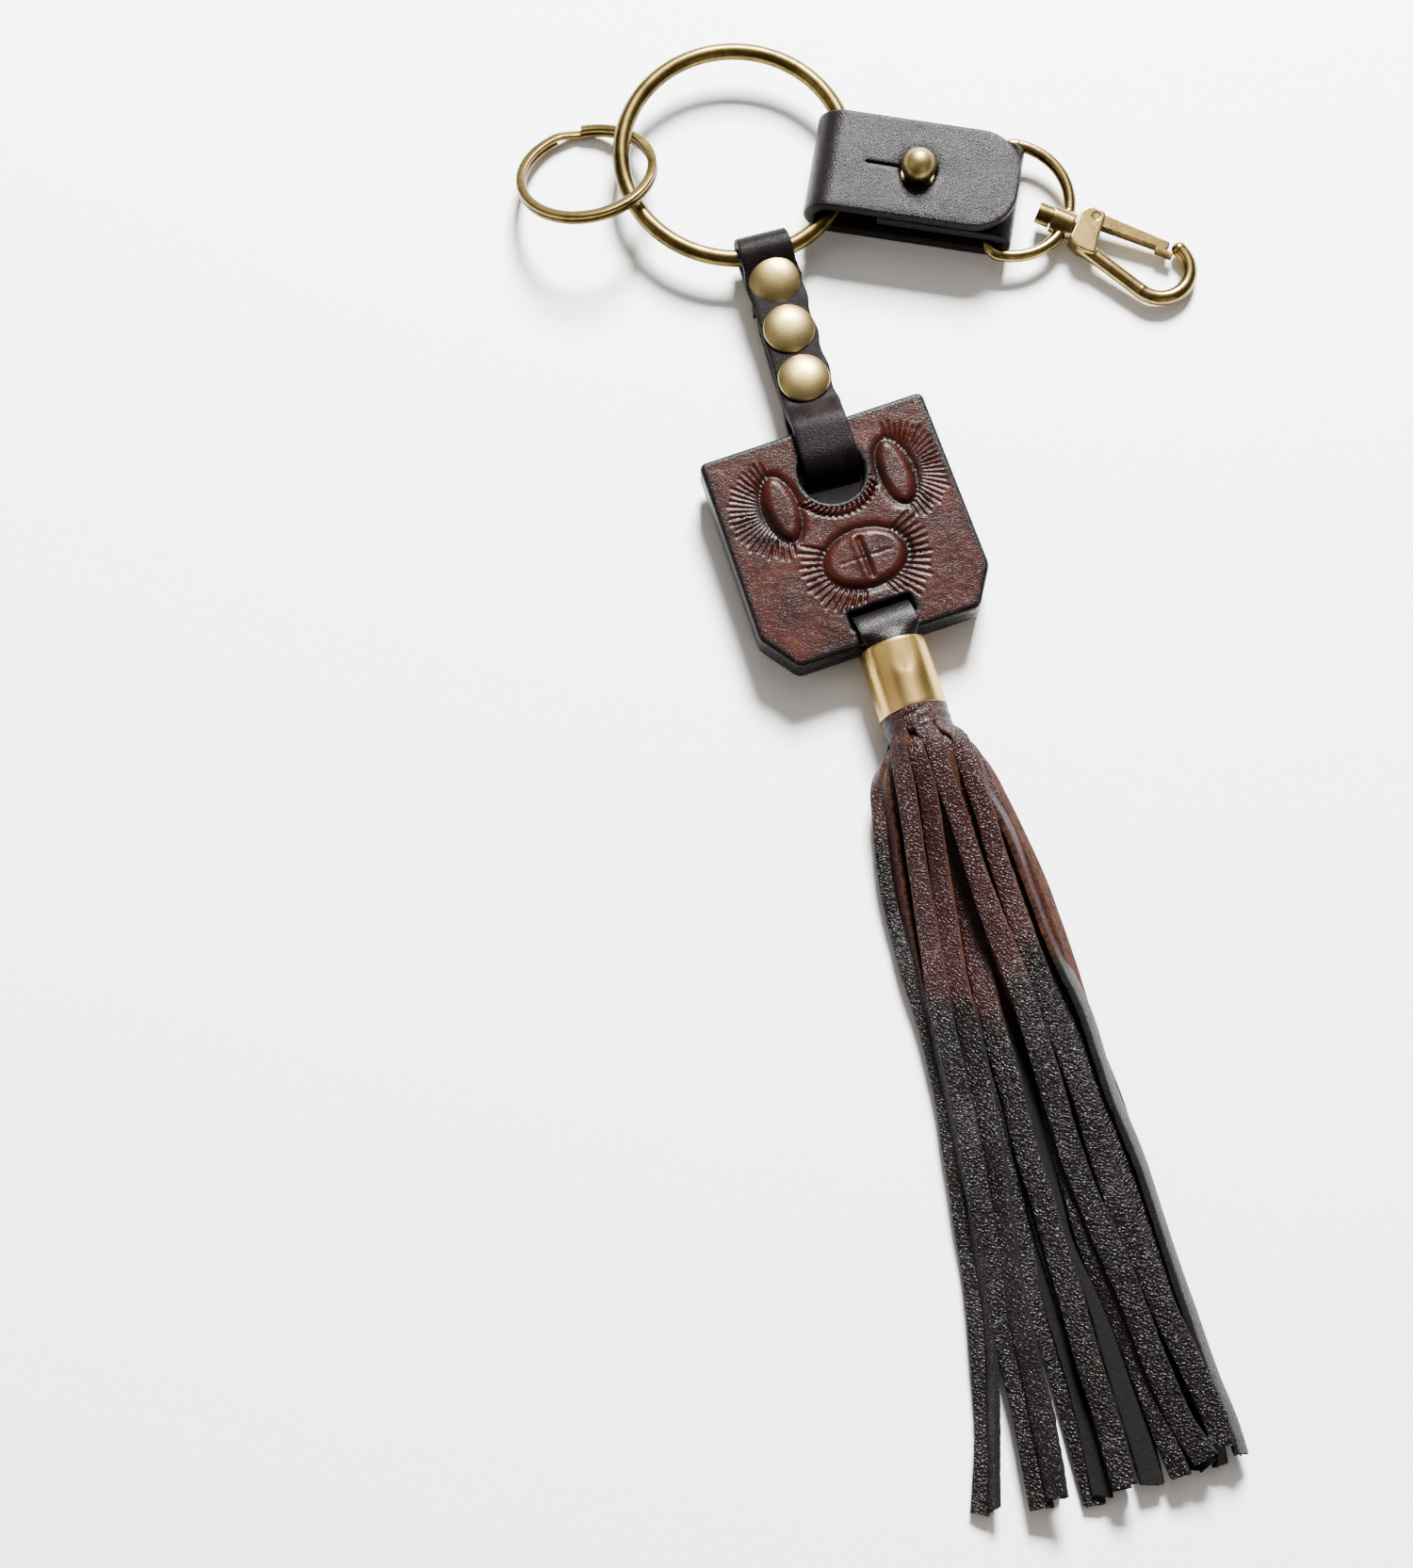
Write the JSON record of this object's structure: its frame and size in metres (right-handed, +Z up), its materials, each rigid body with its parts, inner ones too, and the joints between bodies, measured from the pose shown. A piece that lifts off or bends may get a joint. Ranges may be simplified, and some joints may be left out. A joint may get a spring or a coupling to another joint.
{
  "type": "keychain",
  "caption": "Key charm: a large round ring with a split ring, a riveted strap holding a tooled leather plaque and fringed tassel, and a buttoned tab with a swivel snap hook.",
  "frame": {"origin": "middle of the whole charm's outline as it lies flat, on the surface it lies on", "axes": "+Z up off the surface, +Y along the charm from the fringe tips to the large ring, +X towards the snap hook's side"},
  "size_m": [0.1132, 0.2614, 0.0149],
  "materials": {
    "antique_brass": "antiqued, worn brighter on the crowns",
    "light_antique_brass": "lightly antiqued, polished on the edges",
    "satin_brass": "satin, brushed round the tube",
    "spring_steel": "plain spring steel",
    "black_leather": "smooth black dyed leather with burnished edges",
    "tooled_leather": "tooled and waxed, dark reddish brown with darker recesses",
    "belt_leather_back": "dark brown leather, matte flesh side, black painted edge",
    "ombre_leather": "pebbled burgundy brown fading to black towards the tips, suede back"
  },
  "bodies": {
    "ring": {"large_ring": "antique_brass"},
    "split_ring": {"split_ring": "antique_brass"},
    "hanger": {"hanger_strap": "black_leather", "rivet_caps": "antique_brass", "rivet_posts": "antique_brass"},
    "plaque": {"hanger_loop": "black_leather", "plaque_front": "tooled_leather", "plaque_back": "belt_leather_back"},
    "tassel": {"tassel_loop": "black_leather", "ferrule": "satin_brass", "tassel_head": "ombre_leather"},
    "fringe": {"fringe_top": "ombre_leather", "fringe_middle": "ombre_leather", "fringe_bottom": "ombre_leather"},
    "clip": {"clip_strap": "black_leather", "stud_ball": "antique_brass", "stud_screw": "antique_brass"},
    "eye": {"swivel_eye": "light_antique_brass"},
    "hook": {"hook_body": "light_antique_brass", "swivel_post": "antique_brass", "gate_pin": "antique_brass", "gate_spring": "spring_steel"},
    "gate": {"gate": "light_antique_brass"}
  },
  "joints": [
    {"name": "split_ring_swing", "type": "hinge", "parent": "ring", "child": "split_ring", "pos_m": [-0.03322, 0.10813, 0.00606], "axis": [-0.0523, 0.9984, 0.0237], "range_deg": [0, 170]},
    {"name": "hanger_swing", "type": "hinge", "parent": "ring", "child": "hanger", "pos_m": [-0.0148, 0.08949, 0.0054], "axis": [-0.9969, 0.0785, 0], "range_deg": [-100, 100]},
    {"name": "plaque_flex", "type": "hinge", "parent": "hanger", "child": "plaque", "pos_m": [-0.01722, 0.05874, 0.0054], "axis": [0.9969, -0.0785, 0], "range_deg": [-35, 35]},
    {"name": "tassel_swing", "type": "hinge", "parent": "plaque", "child": "tassel", "pos_m": [-0.01925, 0.01678, 0.0054], "axis": [-1, 0, 0], "range_deg": [-25, 25]},
    {"name": "fringe_flex", "type": "hinge", "parent": "tassel", "child": "fringe", "pos_m": [-0.02032, -0.00069, 0.00587], "axis": [0.9981, -0.061, 0], "range_deg": [-45, 45]},
    {"name": "clip_swing", "type": "hinge", "parent": "ring", "child": "clip", "pos_m": [0.00313, 0.1001, 0.0054], "axis": [-0.4848, -0.8746, 0], "range_deg": [-100, 100]},
    {"name": "eye_swing", "type": "hinge", "parent": "clip", "child": "eye", "pos_m": [0.02733, 0.08669, 0.00415], "axis": [0.4848, 0.8746, 0], "range_deg": [-90, 90]},
    {"name": "hook_swivel", "type": "hinge", "parent": "eye", "child": "hook", "pos_m": [0.0369, 0.07855, 0.00333], "axis": [0.7295, -0.681, -0.0643], "continuous": true},
    {"name": "gate_swing", "type": "hinge", "parent": "hook", "child": "gate", "pos_m": [0.04249, 0.0773, 0.00297], "axis": [-0.058, 0.0321, -0.9978], "range_deg": [0, 22], "stiffness_Nm_per_rad": 0.004, "springref_deg": -28.65}
  ]
}
